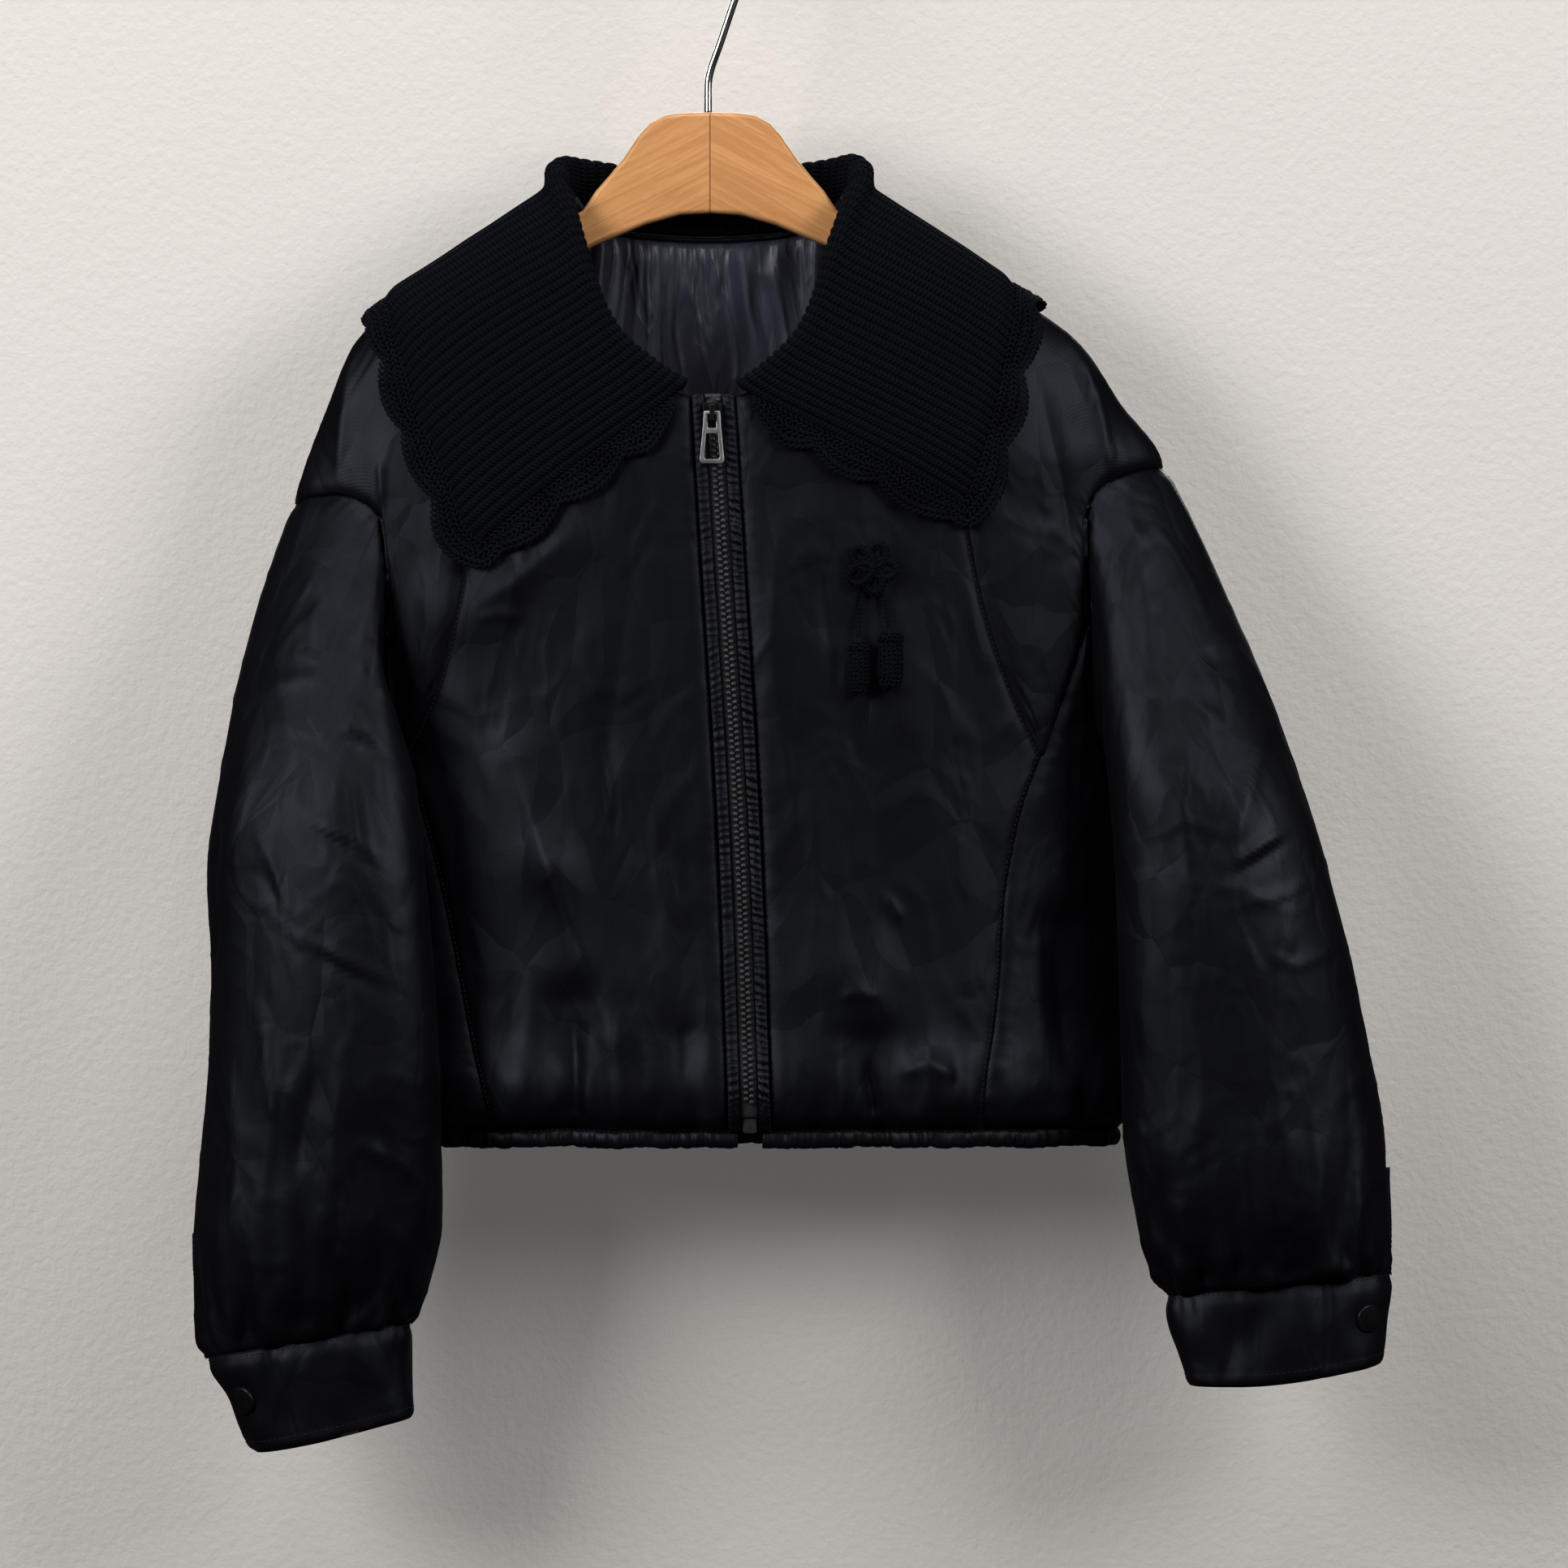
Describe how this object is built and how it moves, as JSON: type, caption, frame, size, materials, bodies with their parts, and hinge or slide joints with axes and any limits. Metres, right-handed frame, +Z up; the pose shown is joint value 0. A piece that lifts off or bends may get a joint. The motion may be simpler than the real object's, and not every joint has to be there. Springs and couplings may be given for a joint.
{
  "type": "jacket on a clothes hanger",
  "caption": "Cropped padded zip jacket with a wide rib-knit collar edged in crochet, gathered hem and snap cuffs, closed and hung on a wooden clothes hanger",
  "frame": {"origin": "inside top of the hanger's hook, where a rail of the wardrobe touches it", "axes": "+Z up, front of the jacket towards -Y, the wearer's left towards +X"},
  "size_m": [0.6371, 0.1376, 0.8079],
  "materials": {
    "satin": "black satin weave with a soft sheen, lightly padded",
    "knit": "blue-black rib knit and crochet, matt",
    "lining": "dark grey lining with a sheen",
    "zip_tape": "black woven tape with a dark metal chain",
    "gunmetal": "dark grey metal, satin",
    "chrome_wire": "bright plated wire",
    "wood": "honey-brown lacquered wood"
  },
  "bodies": {
    "jacket": {"front_right": "satin", "front_left": "satin", "shoulder_panel_right": "satin", "shoulder_panel_left": "satin", "side_front_right": "satin", "side_front_left": "satin", "back_panel": "satin", "sleeve_right": "satin", "sleeve_left": "satin", "sleeve_placket_right": "satin", "sleeve_placket_left": "satin", "cuff_right": "satin", "cuff_left": "satin", "snap_right": "gunmetal", "snap_left": "gunmetal", "hem_casing": "satin", "collar_knit": "knit", "collar_lace_edge": "knit", "neck_binding": "satin", "back_lining": "lining", "zip_tape": "zip_tape", "zip_welt_right": "satin", "zip_welt_left": "satin", "zip_slider": "gunmetal", "zip_bottom_box": "gunmetal", "charm_bow": "knit", "charm_cord_1": "knit", "charm_cord_2": "knit", "charm_pod_1": "knit", "charm_pod_2": "knit", "hanger_wood": "wood", "hanger_hook": "chrome_wire"},
    "pull_tab": {"zip_pull_tab": "gunmetal"}
  },
  "joints": [
    {"name": "pull_tab_swing", "type": "hinge", "parent": "jacket", "child": "pull_tab", "pos_m": [0.00237, -0.04982, -0.2561], "axis": [-1, 0, 0], "range_deg": [0, 150]}
  ]
}
